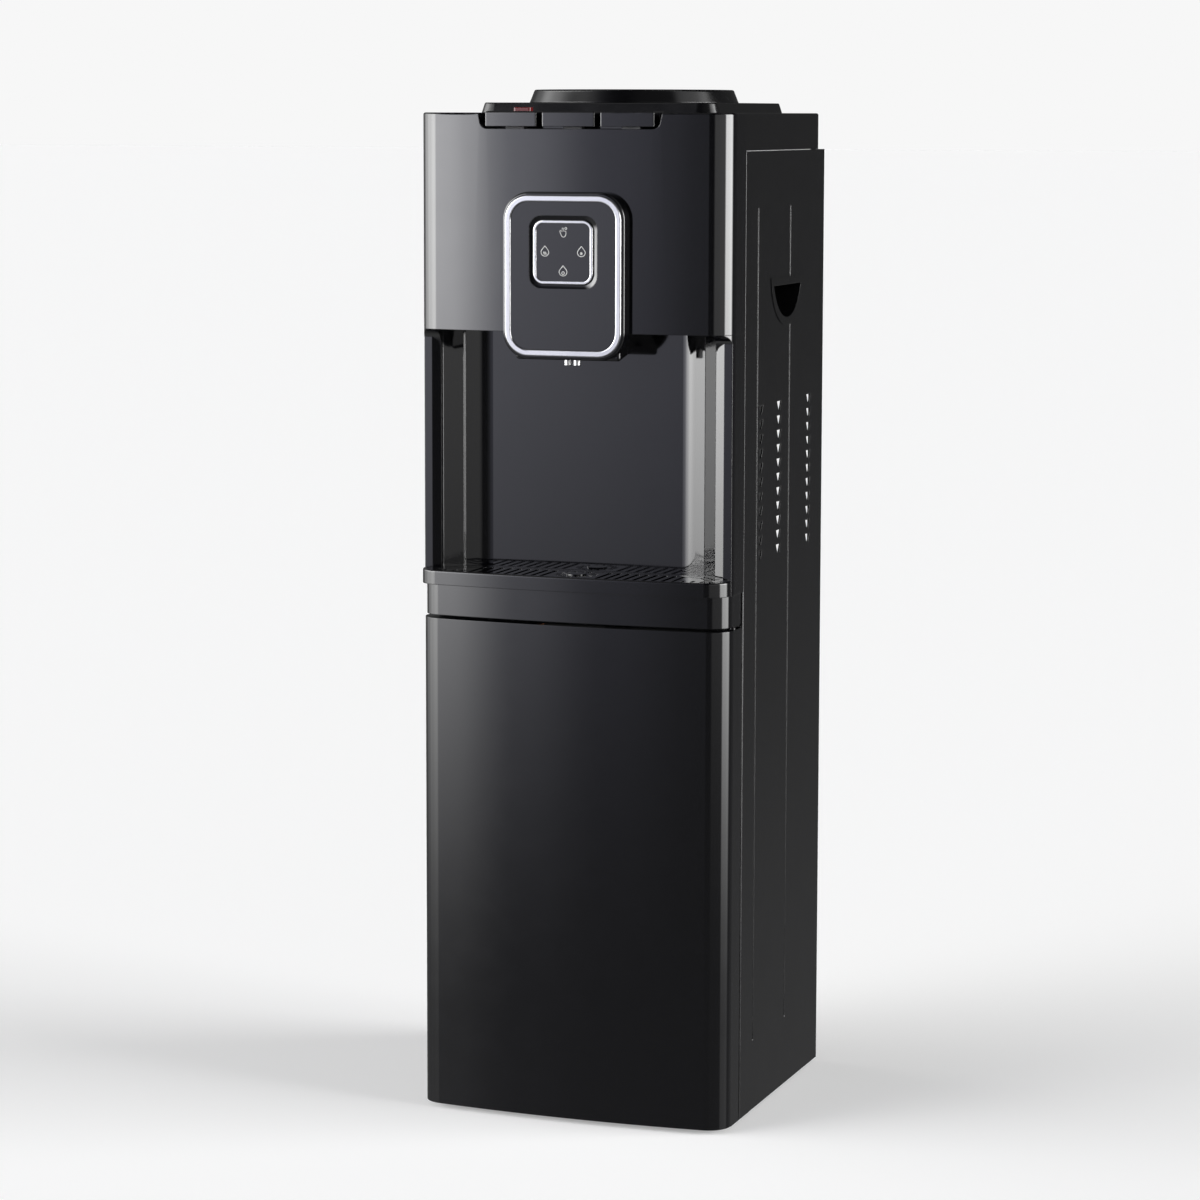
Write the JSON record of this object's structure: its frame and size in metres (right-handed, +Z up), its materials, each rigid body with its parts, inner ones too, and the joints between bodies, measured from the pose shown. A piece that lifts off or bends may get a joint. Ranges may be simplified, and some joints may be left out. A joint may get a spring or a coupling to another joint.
{
  "type": "bottled water dispenser",
  "caption": "Tall black floor-standing dispenser for hot and cold water: bottle collar on top, push keys, touch module, alcove with drip tray and a cabinet with a door below.",
  "frame": {"origin": "on the floor, under the centre of the box around the whole machine", "axes": "+Z up, -Y towards the user (front), +X to the right seen from the front"},
  "size_m": [0.31, 0.32, 0.978],
  "materials": {
    "gloss_black": "polished black ABS",
    "key_black": "polished black ABS keys",
    "satin_black": "satin black ABS",
    "matte_black": "fine-grained black ABS",
    "black_steel": "smooth black powder coat on sheet steel",
    "rear_steel": "dark grey coat on sheet steel",
    "bright_chrome": "bright plated trim",
    "touch_glass": "dark clear touch window",
    "circuit_board": "green circuit board",
    "matte_grey": "grey plastic",
    "steel_tube": "bright steel tube",
    "red_plastic": "red plastic",
    "green_plastic": "green plastic",
    "white_plastic": "white polypropylene",
    "stainless": "stainless steel",
    "foam": "expanded polystyrene",
    "copper": "copper tube",
    "silicone": "food-grade silicone hose",
    "compressor_black": "black enamel",
    "condenser_black": "black enamel on steel tube and wire",
    "rubber": "black rubber",
    "liner_grey": "dark grey moulded liner",
    "zinc_steel": "zinc-plated steel"
  },
  "bodies": {
    "cabinet": {"upper_panel": "gloss_black", "alcove_moulding": "gloss_black", "lower_band": "gloss_black", "nozzle_housing": "gloss_black", "module_shell": "gloss_black", "top_cover": "satin_black", "left_side_panel": "black_steel", "right_side_panel": "black_steel", "rear_panel": "rear_steel", "rear_rail": "rear_steel", "base_plate": "rear_steel", "front_frame": "black_steel", "left_hand_grip": "matte_black", "right_hand_grip": "matte_black", "switch_housing": "matte_black", "module_ring": "bright_chrome", "touch_bezel": "bright_chrome", "touch_plate": "touch_glass", "touch_board": "circuit_board", "power_board": "matte_grey", "hot_nozzle": "steel_tube", "cold_nozzle": "steel_tube", "key_switches": "matte_grey", "tank_lid": "white_plastic", "cold_tank": "stainless", "hot_tank": "stainless", "cold_tank_foam": "foam", "evaporator_coil": "copper", "refrigerant_lines": "copper", "heater_band": "stainless", "hot_tank_thermostats": "matte_grey", "cold_valve": "white_plastic", "hot_valve": "white_plastic", "cold_hoses": "silicone", "hot_hoses": "silicone", "feed_hose": "silicone", "compressor": "compressor_black", "compressor_mounts": "rubber", "condenser": "condenser_black", "drain_spout": "white_plastic", "power_inlet": "rubber", "cabinet_liner": "liner_grey", "cabinet_shelf": "liner_grey", "door_hinges": "black_steel", "levelling_feet": "rubber", "rear_screws": "zinc_steel"},
    "door": {"door_outer": "gloss_black", "door_inner": "liner_grey", "door_gasket": "rubber"},
    "tray": {"drip_tray": "gloss_black"},
    "grille": {"drip_grille": "gloss_black"},
    "hot_key_lever": {"hot_key": "key_black"},
    "ambient_key_lever": {"ambient_key": "key_black"},
    "cold_key_lever": {"cold_key": "key_black"},
    "child_lock": {"child_lock_slider": "red_plastic"},
    "water_guard": {"bottle_collar": "satin_black", "feed_probe": "white_plastic"},
    "hot_switch": {"hot_switch_rocker": "red_plastic"},
    "cold_switch": {"cold_switch_rocker": "green_plastic"},
    "drain_plug": {"drain_cap": "white_plastic"}
  },
  "joints": [
    {"name": "door_hinge", "type": "hinge", "parent": "cabinet", "child": "door", "pos_m": [0.149, -0.104, 0.24], "axis": [0, 0, 1], "range_deg": [0, 115]},
    {"name": "tray_slide", "type": "slide", "parent": "cabinet", "child": "tray", "axis": [0, -1, 0], "range_m": [0, 0.06]},
    {"name": "grille_lift", "type": "slide", "parent": "tray", "child": "grille", "axis": [0, 0, 1], "range_m": [0, 0.03]},
    {"name": "hot_key_press", "type": "hinge", "parent": "cabinet", "child": "hot_key_lever", "pos_m": [-0.0575, -0.114, 0.95], "axis": [1, 0, 0], "range_deg": [0, 3.5], "stiffness_Nm_per_rad": 1.2, "springref_deg": -1.15},
    {"name": "ambient_key_press", "type": "hinge", "parent": "cabinet", "child": "ambient_key_lever", "pos_m": [0, -0.114, 0.95], "axis": [1, 0, 0], "range_deg": [0, 3.5], "stiffness_Nm_per_rad": 1.2, "springref_deg": -1.15},
    {"name": "cold_key_press", "type": "hinge", "parent": "cabinet", "child": "cold_key_lever", "pos_m": [0.0575, -0.114, 0.95], "axis": [1, 0, 0], "range_deg": [0, 3.5], "stiffness_Nm_per_rad": 1.2, "springref_deg": -1.15},
    {"name": "child_lock_slide", "type": "slide", "parent": "hot_key_lever", "child": "child_lock", "axis": [1, 0, 0], "range_m": [0, 0.008]},
    {"name": "guard_lift", "type": "slide", "parent": "cabinet", "child": "water_guard", "axis": [0, 0, 1], "range_m": [0, 0.08]},
    {"name": "hot_switch_rock", "type": "hinge", "parent": "cabinet", "child": "hot_switch", "pos_m": [-0.06, 0.152, 0.87], "axis": [1, 0, 0], "range_deg": [0, 14]},
    {"name": "cold_switch_rock", "type": "hinge", "parent": "cabinet", "child": "cold_switch", "pos_m": [-0.032, 0.152, 0.87], "axis": [1, 0, 0], "range_deg": [0, 14]},
    {"name": "drain_pull", "type": "slide", "parent": "cabinet", "child": "drain_plug", "axis": [0, 1, 0], "range_m": [0, 0.02]}
  ]
}
